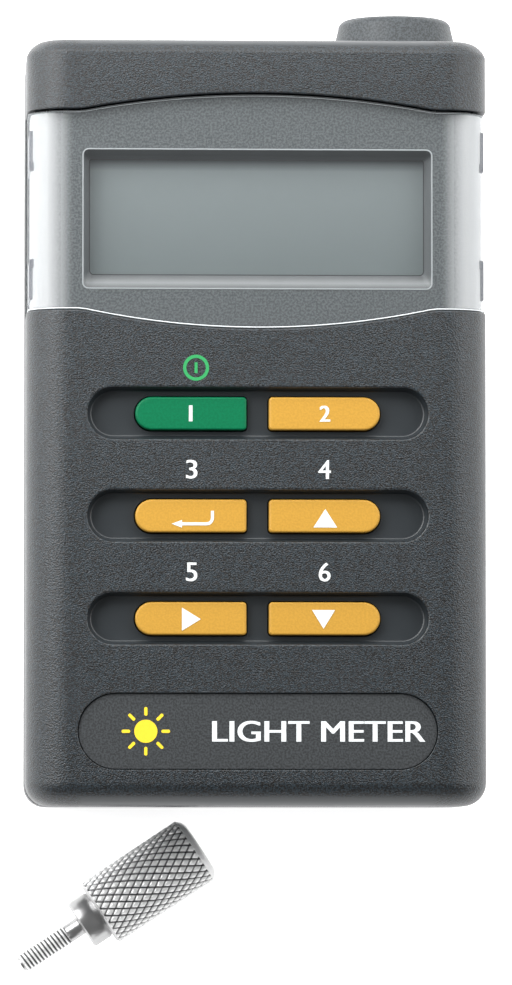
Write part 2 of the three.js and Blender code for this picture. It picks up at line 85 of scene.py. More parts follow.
ARCH_HALF_SPAN = 24.4
UPPER_SEAM_Y, UPPER_RISE = 43.2, 2.3
LOWER_SEAM_Y, LOWER_DROP = 15.5, 2.6
WINDOW_SINK = 0.22
PRINT_HALF_WIDTH = 27.3

LCD_OPENING = (48.65, 19.6)
LCD_OPENING_Y = 28.15
LCD_VISIBLE = (46.6, 16.1)
LCD_VISIBLE_Y = 28.6

RECESS = (47.1, 7.1)
RECESS_DEPTH = 2.4
KEY_FLANGE = 0.7
PLATE_RIM_R = 0.12
DOOR_GAP = 0.25
DOOR_TONGUE = (0.8, 0.9)  # how far the door's edge stands out, and how thick it is
BATTERY_BAY = (27.7, (-44.65, 9.85))  # width, and the range along the case
SCREW_HEAD_R = 2.85

HOOD_BASE_R = 8.65
HOOD_SHIFT = -0.28
ADAPTER_TIP = (-32.3, -75.5, 5.0)
ADAPTER_TURN = math.radians(33.3)
STUD_R = 1.5
STUD_RANGE = (0.3, 7.8)
THREAD_PITCH, THREAD_DEPTH = 0.56, 0.26
COLLAR_R = 3.6
GRIP_R = 5.0
GRIP_RANGE = (13.7, 29.3)
KNURL_COUNT, KNURL_RISE = 26, 0.55  # diamonds round the grip, and turns of a groove per mm
KNURL_DEPTH = 0.3
KEYS = ("key_time", "key_mode", "key_enter", "key_up", "key_right", "key_down")


# ---- Outlines, as lists of (x, y) ------------------------------------------------------------
def rounded_outline(width, height, radii, centre=(0, 0), steps=10):
    """Rounded rectangle. The four radii run anticlockwise from the lower left."""
    corners = ((-1, -1, 180), (1, -1, 270), (1, 1, 0), (-1, 1, 90))
    points = []
    for (sx, sy, start), radius in zip(corners, radii):
        for i in range(steps + 1):
            angle = math.radians(start + 90 * i / steps)
            x = centre[0] + sx * (width / 2 - radius) + radius * math.cos(angle)
            y = centre[1] + sy * (height / 2 - radius) + radius * math.sin(angle)
            points.append((x, y))
    return points


def pill_outline(width, height, grow=0.0, centre=(0, 0), steps=12):
    radius = (height / 2 + grow) * 0.999
    return rounded_outline(width + 2 * grow, height + 2 * grow, [radius] * 4, centre, steps)


def circle_outline(radius, centre=(0, 0), steps=40):
    angles = [2 * math.pi * i / steps for i in range(steps)]
    return [(centre[0] + radius * math.cos(a), centre[1] + radius * math.sin(a)) for a in angles]


def at_height(outline, z):
    return [Vector((x, y, z)) for x, y in outline]


def inside(point, loop):
    x, y = point[0], point[1]
    result = False
    for a, b in zip(loop, [*loop[1:], loop[0]]):
        if (a[1] > y) != (b[1] > y):
            if x < (b[0] - a[0]) * (y - a[1]) / (b[1] - a[1]) + a[0]:
                result = not result
    return result


def arc_steps(radius, steps=4, start=0.0, end=90.0):
    """(across, along) shifts round a quarter circle that starts flat."""
    pairs = []
    for i in range(steps + 1):
        angle = math.radians(start + (end - start) * i / steps)
        pairs.append((radius * math.sin(angle), radius * (1 - math.cos(angle))))
    return pairs


# ---- Mesh building ---------------------------------------------------------------------------
class Skin:
    """Points in millimetres and the faces between them; points that meet are merged."""

    def __init__(self):
        self.points = []
        self.faces = []

    def add(self, points):
        start = len(self.points)
        self.points.extend(Vector(p) for p in points)
        return list(range(start, len(self.points)))

    def strip(self, rows, closed=False):
        ids = [self.add(row) for row in rows]
        for a, b in zip(ids, ids[1:]):
            count = len(a)
            for i in range(count if closed else count - 1):
                j = (i + 1) % count
                self.faces.append((a[i], a[j], b[j], b[i]))

    def face(self, ring):
        self.faces.append(tuple(self.add(ring)))

    def fill(self, outer, holes=()):
        """A flat region at one height, with holes."""
        loops = [list(outer), *[list(hole) for hole in holes]]
        flat = [Vector((p[0], p[1])) for loop in loops for p in loop]
        edges = []
        start = 0
        for loop in loops:
            count = len(loop)
            edges += [(start + i, start + (i + 1) % count) for i in range(count)]
            start += count
        points, _, triangles, _, _, _ = delaunay_2d_cdt(flat, edges, [], 0, 1e-5)
        ids = self.add((p.x, p.y, loops[0][0][2]) for p in points)
        for triangle in triangles:
            centre = sum((points[i] for i in triangle), Vector((0, 0))) / 3
            if inside(centre, loops[0]) and not any(inside(centre, h) for h in loops[1:]):
                self.faces.append(tuple(ids[i] for i in triangle))

    def build(self, name, material, facing=None, thickness=0.0, sharp=40, matrix=None):
        """The finished object. An open skin looks towards facing and thickens away from it."""
        mesh = bpy.data.meshes.new(name)
        mesh.from_pydata([p * MM for p in self.points], [], self.faces)
        bm = bmesh.new()
        bm.from_mesh(mesh)
        bmesh.ops.remove_doubles(bm, verts=bm.verts, dist=0.004 * MM)
        bmesh.ops.dissolve_degenerate(bm, edges=bm.edges, dist=0.002 * MM)
        bmesh.ops.recalc_face_normals(bm, faces=bm.faces)
        if facing is not None:
            total = sum((f.normal * f.calc_area() for f in bm.faces), Vector())
            if total.dot(Vector(facing)) < 0:
                bmesh.ops.reverse_faces(bm, faces=bm.faces)
        if matrix is not None:
            bm.transform(matrix)
        bm.to_mesh(mesh)
        bm.free()
        piece = bpy.data.objects.new(name, mesh)
        bpy.context.scene.collection.objects.link(piece)
        mesh.materials.append(material)
        if thickness:
            wall = piece.modifiers.new("wall", "SOLIDIFY")
            wall.thickness = thickness * MM
            wall.offset = -1
            bake(piece)
        return smoothed(piece, sharp)


def bake(piece):
    graph = bpy.context.evaluated_depsgraph_get()
    made = bpy.data.meshes.new_from_object(piece.evaluated_get(graph))
    piece.modifiers.clear()
    piece.data = made


def smoothed(piece, sharp=40):
    for polygon in piece.data.polygons:
        polygon.use_smooth = True
    piece.data.set_sharp_from_angle(angle=math.radians(sharp))
    piece.modifiers.new("normals", "WEIGHTED_NORMAL").keep_sharp = True
    return piece


def carve(piece, operation, half_width, y_range, z_range):
    """Joins a block to a piece or cuts it away; the block is centred on the middle plane."""
    centre = (0, sum(y_range) / 2)
    outline = rounded_outline(2 * half_width, y_range[1] - y_range[0], [0.3] * 4, centre, 3)
    tool = slab("carving_tool", outline, [], *z_range, piece.data.materials[0])
    piece.modifiers.clear()
    step = piece.modifiers.new("carve", "BOOLEAN")
    step.operation = operation
    step.solver = "EXACT"
    step.object = tool
    bake(piece)
    bpy.data.objects.remove(tool)


def slab(name, outline, holes, low, high, material, edge=0.0):
    """A flat closed plate with an optional small radius on its upper edge."""
    skin = Skin()
    skin.fill(at_height(outline, low), [at_height(h, low) for h in holes])
    skin.fill(at_height(outline, high), [at_height(h, high) for h in holes])
    for loop in (outline, *holes):
        skin.strip([at_height(loop, low), at_height(loop, high)], closed=True)
    piece = skin.build(name, material)
    if edge:
        bevel = piece.modifiers.new("edge", "BEVEL")
        bevel.width = edge * MM
        bevel.segments = 2
        bevel.angle_limit = math.radians(60)
    return piece


def lathe(name, profile, material, matrix, steps=96, shape=None):
    """A closed turned body. profile holds (radius, along), from end to end or round a ring."""
    skin = Skin()
    rows = []
    for radius, along in profile:
        row = []
        for i in range(steps):
            turn = 2 * math.pi * i / steps
            r = shape(radius, along, turn) if shape else radius
            row.append(Vector((r * math.cos(turn), r * math.sin(turn), along)))
        rows.append(row)
    skin.strip(rows, closed=True)
    if profile[0] != profile[-1]:
        skin.face(rows[0])
        skin.face(rows[-1])
    return skin.build(name, material, matrix=matrix)


def place(piece, body, slot, *replaced):
    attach(piece, body)
    if replaced:
        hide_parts(*replaced)
    return piece


# ---- Materials -------------------------------------------------------------------------------
def linear(red, green, blue):
    def channel(value):
        value /= 255
        return value / 12.92 if value <= 0.04045 else ((value + 0.055) / 1.055) ** 2.4

    return (channel(red), channel(green), channel(blue), 1.0)


class Look:
    """A procedural material on one Principled shader."""

    def __init__(self, name, rough, metallic=0.0, specular=0.5):
        self.material = bpy.data.materials.new(name)
        self.material.use_nodes = True
        self.tree = self.material.node_tree
        self.shader = self.tree.nodes["Principled BSDF"]
        self.shader.inputs["Roughness"].default_value = rough
        self.shader.inputs["Metallic"].default_value = metallic
        self.shader.inputs["Specular IOR Level"].default_value = specular
        self.where = self.node("ShaderNodeTexCoord").outputs["Object"]

    def node(self, kind, **values):
        made = self.tree.nodes.new(kind)
        for key, value in values.items():
            setattr(made, key, value)
        return made

    def link(self, output, socket):
        self.tree.links.new(output, socket)

    def noise(self, size_mm, detail=2.0, roughness=0.55):
        made = self.node("ShaderNodeTexNoise")
        self.link(self.where, made.inputs["Vector"])
        made.inputs["Scale"].default_value = 1 / (size_mm * MM)
        made.inputs["Detail"].default_value = detail
        made.inputs["Roughness"].default_value = roughness
        return made.outputs["Fac"]

    def ramp(self, factor, stops):
        made = self.node("ShaderNodeValToRGB")
        self.link(factor, made.inputs["Fac"])
        elements = made.color_ramp.elements
        while len(elements) < len(stops):
            elements.new(0.5)
        for element, (position, colour) in zip(elements, stops):
            element.position = position
            element.color = colour
        return made.outputs["Color"]

    def speckle(self, colour, spread, size_mm=0.35):
        """Base colour varied by a fine grain; spread is the share up and down."""
        dark = tuple(c * (1 - spread) for c in colour[:3]) + (1,)
        light = tuple(min(1, c * (1 + spread)) for c in colour[:3]) + (1,)
        speckled = self.ramp(self.noise(size_mm, 1.5), [(0.4, dark), (0.6, light)])
        self.link(speckled, self.shader.inputs["Base Color"])
        return self

    def grain(self, depth_mm, size_mm=0.35, strength=1.0, detail=2.0):
        bump = self.node("ShaderNodeBump")
        if isinstance(strength, float):
            bump.inputs["Strength"].default_value = strength
        else:
            self.link(strength, bump.inputs["Strength"])
        bump.inputs["Distance"].default_value = depth_mm * MM
        self.link(self.noise(size_mm, detail), bump.inputs["Height"])
        self.link(bump.outputs["Normal"], self.shader.inputs["Normal"])
        return self

    def along(self, axis, start_mm, end_mm):
        """0 to 1 along an axis of the row frame."""
        split = self.node("ShaderNodeSeparateXYZ")
        self.link(self.where, split.inputs[0])
        spread = self.node("ShaderNodeMapRange")
        self.link(split.outputs[axis], spread.inputs["Value"])
        spread.inputs["From Min"].default_value = start_mm * MM
        spread.inputs["From Max"].default_value = end_mm * MM
        return spread.outputs["Result"]


def plain_look(name, colour, rough, metallic=0.0, specular=0.5, grain=0.01, spread=0.08, size=0.4):
    return Look(name, rough, metallic, specular).speckle(colour, spread, size).grain(grain, size).material


def side_distance(look, start_mm, end_mm):
    """0 to 1 between two distances from the middle plane of the case."""
    split = look.node("ShaderNodeSeparateXYZ")
    look.link(look.where, split.inputs[0])
    side = look.node("ShaderNodeMath", operation="ABSOLUTE")
    look.link(split.outputs["X"], side.inputs[0])
    fade = look.node("ShaderNodeMapRange", interpolation_type="SMOOTHSTEP")
    look.link(side.outputs[0], fade.inputs["Value"])
    fade.inputs["From Min"].default_value = start_mm * MM
    fade.inputs["From Max"].default_value = end_mm * MM
    return fade.outputs["Result"]


def mixed(look, factor, first, second):
    """A colour between two, each a socket or a fixed colour."""
    mix = look.node("ShaderNodeMix", data_type="RGBA")
    look.link(factor, mix.inputs["Factor"])
    for socket, value in zip([i for i in mix.inputs if i.type == "RGBA"], (first, second)):
        if isinstance(value, tuple):
            socket.default_value = value
        else:
            look.link(value, socket)
    return [o for o in mix.outputs if o.type == "RGBA"][0]


def case_look():
    """Spark-eroded grey plastic; the hollows and the end roundings are left smooth. Their smooth colour is
    lighter than the grain, painted light that lifts the shade in the key recesses; on the ends and the
    back it is the plain finish.
    """
    look = Look("case_plastic", 0.4, specular=0.65)
    side = side_distance(look, 24.2, 25.0)
    depth = look.along("Z", FACE_Z - 0.9, FACE_Z - 0.5)
    textured = look.node("ShaderNodeMath", operation="MAXIMUM")
    look.link(side, textured.inputs[0])
    look.link(depth, textured.inputs[1])
    base = linear(18, 26, 31)
    # Lighter than the grain's base: painted light that lifts the shaded floors and walls of the key
    # recesses.
    smooth = linear(34, 40, 44)
    light = tuple(2 * c for c in base[:3]) + (1,)
    speckled = look.ramp(look.noise(0.24, 1.0), [(0.45, (0, 0, 0, 1)), (0.55, light)])
    look.link(mixed(look, textured.outputs[0], smooth, speckled), look.shader.inputs["Base Color"])
    look.grain(0.1, 0.2, detail=1.0, strength=textured.outputs[0])
    return look.material


def clear_look():
    """Clear moulded plastic: nearly unseen face on, with a painted sheen on its roundings, where it turns
    opaque near-white towards grazing view in place of their reflection.
    """
    look = Look("clear_plastic", 0.28, specular=0.3)
    look.speckle(linear(200, 205, 208), 0.04, 2.0)
    look.grain(0.002, 9.0)
    # Painted sheen: the near-white base shows more towards grazing view, standing in for the reflection on
    # the curved flanks.
    painted_sheen_facing = look.node("ShaderNodeLayerWeight")
    painted_sheen_facing.inputs["Blend"].default_value = 0.35
    spread = look.node("ShaderNodeMapRange")
    look.link(painted_sheen_facing.outputs["Facing"], spread.inputs["Value"])
    spread.inputs["To Min"].default_value = 0.02
    spread.inputs["To Max"].default_value = 0.25
    look.link(spread.outputs["Result"], look.shader.inputs["Alpha"])
    return look.material


def print_look():
    """Grey printed film that fades out to clear white at both sides."""
    look = Look("window_print", 0.45)
    grey = linear(74, 79, 81)
    dark = tuple(c * 0.68 for c in grey[:3]) + (1,)
    light = tuple(c * 1.32 for c in grey[:3]) + (1,)
    speckled = look.ramp(look.noise(0.3, 1.5), [(0.4, dark), (0.6, light)])
    fade = side_distance(look, 25.4, 28.0)
    look.link(mixed(look, fade, speckled, linear(146, 149, 150)), look.shader.inputs["Base Color"])
    return look.material


def carrier_look():
    look = Look("carrier_white", 0.5)
    fade = side_distance(look, 26.8, 29.2)
    inner = look.ramp(look.noise(0.3, 1.5), [(0.4, linear(116, 119, 121)), (0.6, linear(129, 132, 133))])
    look.link(mixed(look, fade, inner, linear(168, 170, 171)), look.shader.inputs["Base Color"])
    look.grain(0.03, 0.4)
    return look.material


def frame_look():
    """Satin frame with a painted highlight on its outward rim and painted light on its walls: a painted
    highlight band on the lower wall and painted shade on the upper wall, the darkest.
    """
    look = Look("lcd_frame", 0.4)
    rise = look.along("Z", FACE_Z - 1.75, FACE_Z - 1.5)
    across = look.along("Y", LCD_OPENING_Y - 9.8, LCD_OPENING_Y + 9.8)
    # Painted light along the walls: light and dark lines with a painted highlight band on the lower wall,
    # mid grey on the side walls, painted shade on the upper wall.
    stops = [
        (0.01, linear(92, 95, 96)),
        (0.05, linear(136, 139, 140)),
        (0.09, linear(104, 107, 108)),
        (0.12, linear(84, 88, 90)),
        (0.92, linear(90, 94, 96)),
        (0.96, linear(30, 33, 36)),
    ]
    walls = look.ramp(across, stops)
    # Painted highlight on the outward rim of the frame.
    rim = look.ramp(rise, [(0.6, (0, 0, 0, 1)), (0.9, (1, 1, 1, 1))])
    look.link(mixed(look, rim, walls, linear(160, 165, 167)), look.shader.inputs["Base Color"])
    look.grain(0.004, 0.4)
    return look.material


def screen_look():
    look = Look("lcd_screen", 0.16)
    # Painted light: the cell is lighter towards its upper end, with a painted shadow of the upper frame
    # wall along its top edge.
    graded = look.along("Y", LCD_VISIBLE_Y - 8.1, LCD_VISIBLE_Y + 8.1)
    stops = [
        (0.0, linear(99, 107, 108)),
        (0.9, linear(118, 126, 127)),
        (0.96, linear(92, 98, 100)),
        (1.0, linear(50, 54, 57)),
    ]
    look.link(look.ramp(graded, stops), look.shader.inputs["Base Color"])
    look.grain(0.002, 3.0)
    return look.material


def nickel_look():
    """Bright nickel by the mesh's own values: painted shade darkens the grooves, and it is mirror-like
    where it is smooth.
    """
    look = Look("adapter_steel", 0.28, specular=0.8)
    polish = look.node("ShaderNodeAttribute", attribute_name="polish").outputs["Fac"]
    look.link(polish, look.shader.inputs["Metallic"])
    groove = look.node("ShaderNodeAttribute", attribute_name="groove").outputs["Fac"]
    # Painted shade: the deeper a point lies in the knurl or the thread, the darker its colour.
    colour = look.ramp(groove, [(0.3, linear(250, 250, 250)), (0.8, linear(30, 30, 34))])
    look.link(colour, look.shader.inputs["Base Color"])
    look.grain(0.004, 0.5)
    return look.material


FINE_GRAIN = {"grain": 0.012, "size": 0.3}
# Base colour, roughness and options of each slot that one plain look serves.
PLAIN_SLOTS = {
    "bezel_plastic": (linear(74, 78, 80), 0.5, {}),
    "carrier_plastic": (linear(212, 214, 215), 0.5, {"spread": 0.03}),
    "key_orange": (linear(187, 142, 57), 0.42, {"specular": 0.25, "spread": 0.05, **FINE_GRAIN}),
    "key_green": (linear(0, 103, 66), 0.45, {"specular": 0.2, "spread": 0.07, **FINE_GRAIN}),
    "silicone": (linear(120, 122, 122), 0.6, {}),
    "plate": (linear(49, 52, 54), 0.5, {"grain": 0.012, "spread": 0.4, "size": 0.28}),
    "board": (linear(24, 84, 48), 0.4, {"spread": 0.15, "size": 0.8}),
    "component_black": (linear(34, 34, 36), 0.5, {}),
    "hood_plastic": (linear(52, 57, 60), 0.5, {"grain": 0.04, "spread": 0.45, "size": 0.28}),
    "diffuser": (linear(240, 240, 236), 0.5, {"spread": 0.02}),
    "steel": (linear(170, 172, 174), 0.3, {"metallic": 1.0, "grain": 0.004}),
    "brass": (linear(196, 160, 84), 0.32, {"metallic": 1.0, "grain": 0.006}),
    "battery_jacket": (linear(50, 52, 58), 0.35, {}),
    "foam": (linear(60, 60, 62), 0.9, {"grain": 0.08, "spread": 0.25, "size": 0.6}),
    "lead_red": (linear(190, 36, 30), 0.4, {}),
    "lead_black": (linear(28, 28, 30), 0.4, {}),
}
SLOT_LOOKS = {
    "case_plastic": case_look(),
    "window_plastic": clear_look(),
    "lcd_glass": screen_look(),
    "adapter_steel": nickel_look(),
}
for slot, (colour, rough, options) in PLAIN_SLOTS.items():
    SLOT_LOOKS[slot] = plain_look(slot, colour, rough, **options)


# ---- Case ------------------------------------------------------------------------------------
def arch(x, rise):
    if abs(x) >= ARCH_HALF_SPAN:
        return 0.0
    radius = (ARCH_HALF_SPAN**2 + rise**2) / (2 * rise)
    return math.sqrt(radius**2 - x**2) - (radius - rise)


def upper_seam(x):
    return UPPER_SEAM_Y + arch(x, UPPER_RISE)


def lower_seam(x):
    return LOWER_SEAM_Y - arch(x, LOWER_DROP)


class Section:
    """Cross-section of the case: two walls, two side roundings and the flat between them."""

    def __init__(self, radius, face_z, up, edge_z, offset=0.0):
        self.flat_x = HALF_WIDTH - radius
        self.radius = radius - offset
        self.up = up
        self.centre_z = face_z - up * radius
        self.edge_z = edge_z

    def half(self, side, y, inset=0.0, steps=14):
        """Points from the parting edge up to the flat, on one side."""
        r = self.radius - inset
        points = []
        for i in range(4):
            z = self.edge_z + (self.centre_z - self.edge_z) * i / 4
            points.append(Vector((side * (self.flat_x + r), y, z)))
        for i in range(steps + 1):
            angle = math.pi / 2 * i / steps
            x = side * (self.flat_x + r * math.cos(angle))
            points.append(Vector((x, y, self.centre_z + self.up * r * math.sin(angle))))
        return points

    def half_normals(self, side, steps=14):
        normals = [Vector((side, 0, 0))] * 4
        for i in range(steps + 1):
            angle = math.pi / 2 * i / steps
            normals.append(Vector((side * math.cos(angle), 0, self.up * math.sin(angle))))
        return normals

    def flat_z(self):
        return self.centre_z + self.up * self.radius

    def across(self, y, inset=0.0):
        return self.half(-1, y, inset) + self.half(1, y, inset)[::-1]

    def seam_line(self, seam, shift, steps=48):
        """A seam on the flat, left to right."""
        xs = [self.flat_x * (2 * i / steps - 1) for i in range(steps + 1)]
        return [Vector((x, seam(x) + shift, self.flat_z())) for x in xs]

    def seam_row(self, seam, shift):
        """A seam over the whole section, left to right, with the surface normals."""
        y = seam(HALF_WIDTH) + shift
        flat = self.seam_line(seam, shift)
        points = self.half(-1, y)[:-1] + flat + self.half(1, y)[:-1][::-1]
        normals = (
            self.half_normals(-1)[:-1]
            + [Vector((0, 0, self.up))] * len(flat)
            + self.half_normals(1)[:-1][::-1]
        )
        return points, normals


def lip(skin, points, normals, outward, depth=1.0, radius=EDGE_R):
    """A small rounded edge along a row of points, then a wall that goes in."""
    rows = []
    for across, drop in arc_steps(radius, 3):
        rows.append([p + outward * across - n * drop for p, n in zip(points, normals)])
    rows.append([p - n * depth for p, n in zip(rows[-1], normals)])
    skin.strip(rows)


def end_rows(y_end, radius, crease=0.0, steps=8):
    """(y, inset, plan angle) of the rows round an end of the case."""
    sign = 1 if y_end > 0 else -1
    rows = []
    for i in range(steps + 1):
        angle = crease + (math.pi / 2 - crease) * i / steps
        y = y_end - sign * radius * (1 - math.sin(angle))
        rows.append((y, radius * (math.cos(crease) - math.cos(angle)), angle))
    return rows


def case_end(skin, section, seam, rows, holes=()):
    """Walls, roundings, flat and end face, from a seam on the flat to one end."""
    y_seam = seam[0].y
    sign = 1 if rows[-1][0] > y_seam else -1
    for side in (-1, 1):
        skin.strip([section.half(side, y_seam), section.half(side, rows[0][0])])
    corners = [
        Vector((section.flat_x, rows[0][0], section.flat_z())),
        Vector((-section.flat_x, rows[0][0], section.flat_z())),
    ]
    skin.fill([*seam, *corners], holes)
    end = [section.across(y, inset) for y, inset, _ in rows]
    skin.strip(end)
    skin.face(end[-1])

    left = [section.half(-1, y_seam)[0], *[row[0] for row in end]]
    right = [section.half(1, y_seam)[0], *[row[-1] for row in end]]
    angles = [0.0, *[angle for _, _, angle in rows]]
    normals = [Vector((-math.cos(a), sign * math.sin(a), 0)) for a in angles]
    mirrored = [Vector((-n.x, n.y, 0)) for n in normals]
    lip(skin, left + right[::-1], normals + mirrored[::-1], Vector((0, 0, -section.up)))


def pocket(skin, outline, rim_r, floor_z, inward, foot_r, holes=()):
    """A hollow in the face with a rounded rim, a sloping wall and a rounded foot."""
    rows = []
    for across, drop in arc_steps(rim_r, 4, 0, 84):
        rows.append(at_height(outline(rim_r - across), FACE_Z - drop))
    for across, rise in reversed(arc_steps(foot_r, 4, 0, 84)):
        rows.append(at_height(outline(-inward - foot_r + across), floor_z + rise))
    skin.strip(rows, closed=True)
    skin.fill(rows[-1], holes)


def recess(skin, row):
    """One key recess, with a hole in its floor for each key."""
    floor_z = FACE_Z - RECESS_DEPTH
    holes = []
    for key in KEYS:
        if abs(middle(key).y - row) < 0.5:
            rim = [at_height(key_outline(key, 0.2), z) for z in (floor_z, floor_z - 1.3)]
            holes.append(rim[0])
            skin.strip(rim, closed=True)
    pocket(skin, lambda grow: pill_outline(*RECESS, grow, (0, row)), 0.3, floor_z, 0.3, 0.3, holes)


def key_outline(key, grow=0.0):
    """Outline of a key's cap: fully round at its outer end, small corners at the inner end."""
    low, high = box_mm(key)
    width = high.x - low.x - 2 * KEY_FLANGE + 2 * grow
    height = high.y - low.y - 2 * KEY_FLANGE + 2 * grow
    round_r, corner_r = height / 2 * 0.999, 0.5 + max(grow, -0.3)
    left = (round_r, corner_r, corner_r, round_r)
    right = (corner_r, round_r, round_r, corner_r)
    centre = ((low.x + high.x) / 2, (low.y + high.y) / 2)
    return rounded_outline(width, height, left if centre[0] < 0 else right, centre)


def front_shell():
    section = Section(FRONT_SIDE_R, FACE_Z, 1, PARTING_Z + PARTING_GAP / 2 + EDGE_R)
    above = UPPER_GAP / 2 + EDGE_R
    below = -LOWER_GAP / 2 - LIT_EDGE_R
    look = SLOT_LOOKS["case_plastic"]

    skin = Skin()
    holes = []
    for row in sorted({round(middle(key).y, 2) for key in KEYS}):
        recess(skin, row)
        holes.append(at_height(pill_outline(*RECESS, 0.3, (0, row)), FACE_Z))
    low, high = box_mm("name_plate")
    plate = (high.x - low.x + 0.2, high.y - low.y + 0.2)
    centre = middle("name_plate").xy
    pocket(skin, lambda grow: pill_outline(*plate, grow, centre), PLATE_RIM_R, low.z - 0.1, 0.0, 0.08)
    holes.append(at_height(pill_outline(*plate, PLATE_RIM_R, centre), FACE_Z))
    seam, rows = section.seam_line(lower_seam, below), end_rows(-HALF_LENGTH, BOTTOM_END_R)
    case_end(skin, section, seam, rows, holes)
    lip(skin, *section.seam_row(lower_seam, below), Vector((0, 1, 0)), 1.0, LIT_EDGE_R)
    body = skin.build("front_shell_body", look, (0, 0, 1), 0.9)
    place(body, "meter", "case_plastic", "front_case")

    skin = Skin()
    seam, rows = section.seam_line(upper_seam, above), end_rows(HALF_LENGTH, TOP_END_R, TOP_CREASE)
    case_end(skin, section, seam, rows)
    lip(skin, *section.seam_row(upper_seam, above), Vector((0, -1, 0)))
    cap = skin.build("front_shell_cap", look, (0, 0, 1), 0.9)
    place(cap, "meter", "case_plastic")


def rear_shell():
    skin = Skin()
    section = Section(REAR_SIDE_R, REAR_LOW.z, -1, PARTING_Z - PARTING_GAP / 2 - EDGE_R)
    split_y = 18.5
    holes = []
    for i in range(1, 5):
        centre = middle(f"case_screw_{i}").xy
        profile = ((SCREW_HEAD_R + 0.15, 0), (SCREW_HEAD_R, 0.15), (SCREW_HEAD_R, 3))
        rims = [at_height(circle_outline(r, centre), z) for r, z in profile]
        skin.strip(rims, closed=True)
        skin.fill(rims[-1])
        holes.append(rims[0])
    for sign in (-1, 1):
        line = [Vector((x * section.flat_x, split_y, section.flat_z())) for x in (-1, 1)]
        mine = [h for h in holes if sign * (h[0].y - split_y) > 0]
        case_end(skin, section, line, end_rows(sign * HALF_LENGTH, REAR_END_R), mine)
    shell = skin.build("rear_shell", SLOT_LOOKS["case_plastic"], (0, 0, -1), 0.9)

    # The track of the battery door is open at the lower end of the case.
    low, high = box_mm("battery_door")
    tongue, tongue_thickness = DOOR_TONGUE
    bay_width, bay_range = BATTERY_BAY
    roof_z = high.z + DOOR_GAP
    along = (-60, high.y + DOOR_GAP)
    carve(shell, "UNION", high.x - tongue + 2.6, (-HALF_LENGTH + 1, high.y + 2), (0.5, roof_z + 1.5))
    carve(shell, "DIFFERENCE", high.x - tongue + DOOR_GAP, along, (-1, roof_z))
    carve(shell, "DIFFERENCE", high.x + DOOR_GAP, along, (high.z - tongue_thickness - DOOR_GAP, roof_z))
    carve(shell, "DIFFERENCE", bay_width / 2, bay_range, (high.z, high.z + 4))
    place(smoothed(shell), "meter", "case_plastic", "rear_case")


# ---- Display ---------------------------------------------------------------------------------
def window():
    """The clear saddle-shaped window, the film printed behind it and its four side latches."""
    section = Section(FRONT_SIDE_R, FACE_Z, 1, PARTING_Z + PARTING_GAP / 2 + EDGE_R, WINDOW_SINK)
    above = LOWER_GAP / 2 + CRISP_EDGE_R
    below = -UPPER_GAP / 2 - EDGE_R
    low, _ = section.seam_row(lower_seam, above)
    high, _ = section.seam_row(upper_seam, below)
    skin = Skin()
    skin.strip([[a.lerp(b, i / 8) for a, b in zip(low, high)] for i in range(9)])
    lip(skin, *section.seam_row(lower_seam, above), Vector((0, -1, 0)), 0.8, CRISP_EDGE_R)
    lip(skin, *section.seam_row(upper_seam, below), Vector((0, 1, 0)), 0.8)
    clear = skin.build("window_clear", SLOT_LOOKS["window_plastic"], (0, 0, 1), 0.3)
    place(clear, "meter", "window_plastic", "display_window")

    # Near-white beads painted as the highlights on the window's lower and upper edges; the upper one is
    # dimmer.
    edge = plain_look("window_highlight_bead", linear(222, 226, 228), 0.3, spread=0.05)
    dim_highlight_look = plain_look("window_edge_dull", linear(132, 137, 139), 0.5, spread=0.05)
    seam_bead("window_edge_lower", section.seam_row(lower_seam, above + 0.06), 0.085, edge)
    seam_bead("window_edge_upper", section.seam_row(upper_seam, below - 0.04), 0.03, dim_highlight_look)

    outline = [(p.x, p.y) for p in film_edge(lower_seam, 0.3)]
    outline += [(p.x, p.y) for p in film_edge(upper_seam, -0.4)[::-1]]
    hole = rounded_outline(*LCD_OPENING, [0.9] * 4, (0, LCD_OPENING_Y), 6)
    film = slab("window_print", outline, [hole], FACE_Z - 1.75, FACE_Z - 1.6, print_look())
    place(film, "meter", "window_plastic")

    dark = plain_look("window_latch", linear(100, 102, 108), 0.5)
    for name, side, y in (("ul", -1, 37.8), ("ll", -1, 19.9), ("ur", 1, 37.8), ("lr", 1, 19.9)):
        foot = y - math.copysign(2.2, y - LCD_VISIBLE_Y)
        outline = rounded_outline(0.8, 5.6, [0.2] * 4, (side * 31.22, y), 3)
        latch = slab(f"window_latch_{name}", outline, [], 17.0, 29.6, dark, 0.2)
        place(latch, "meter", "window_plastic")
        outline = rounded_outline(1.1, 1.2, [0.3] * 4, (side * 31.0, foot), 3)
        hook = slab(f"window_latch_{name}_hook", outline, [], 24.0, 30.0, dark, 0.2)
        place(hook, "meter", "window_plastic")


def seam_bead(name, row, radius, look):
    """A thin round bead along a seam, coloured as a painted highlight on the window's edge."""
    along_y = Vector((0, 1, 0))
    turns = [2 * math.pi * i / 8 for i in range(8)]
    rings = [[p + radius * (n * math.cos(a) + along_y * math.sin(a)) for a in turns] for p, n in zip(*row)]
    skin = Skin()
    skin.strip(rings, closed=True)
    skin.face(rings[0])
    skin.face(rings[-1])
    place(skin.build(name, look), "meter", "window_plastic")


def film_edge(seam, shift, steps=48):
    xs = [PRINT_HALF_WIDTH * (2 * i / steps - 1) for i in range(steps + 1)]
    return [Vector((x, seam(x) + shift, 0)) for x in xs]


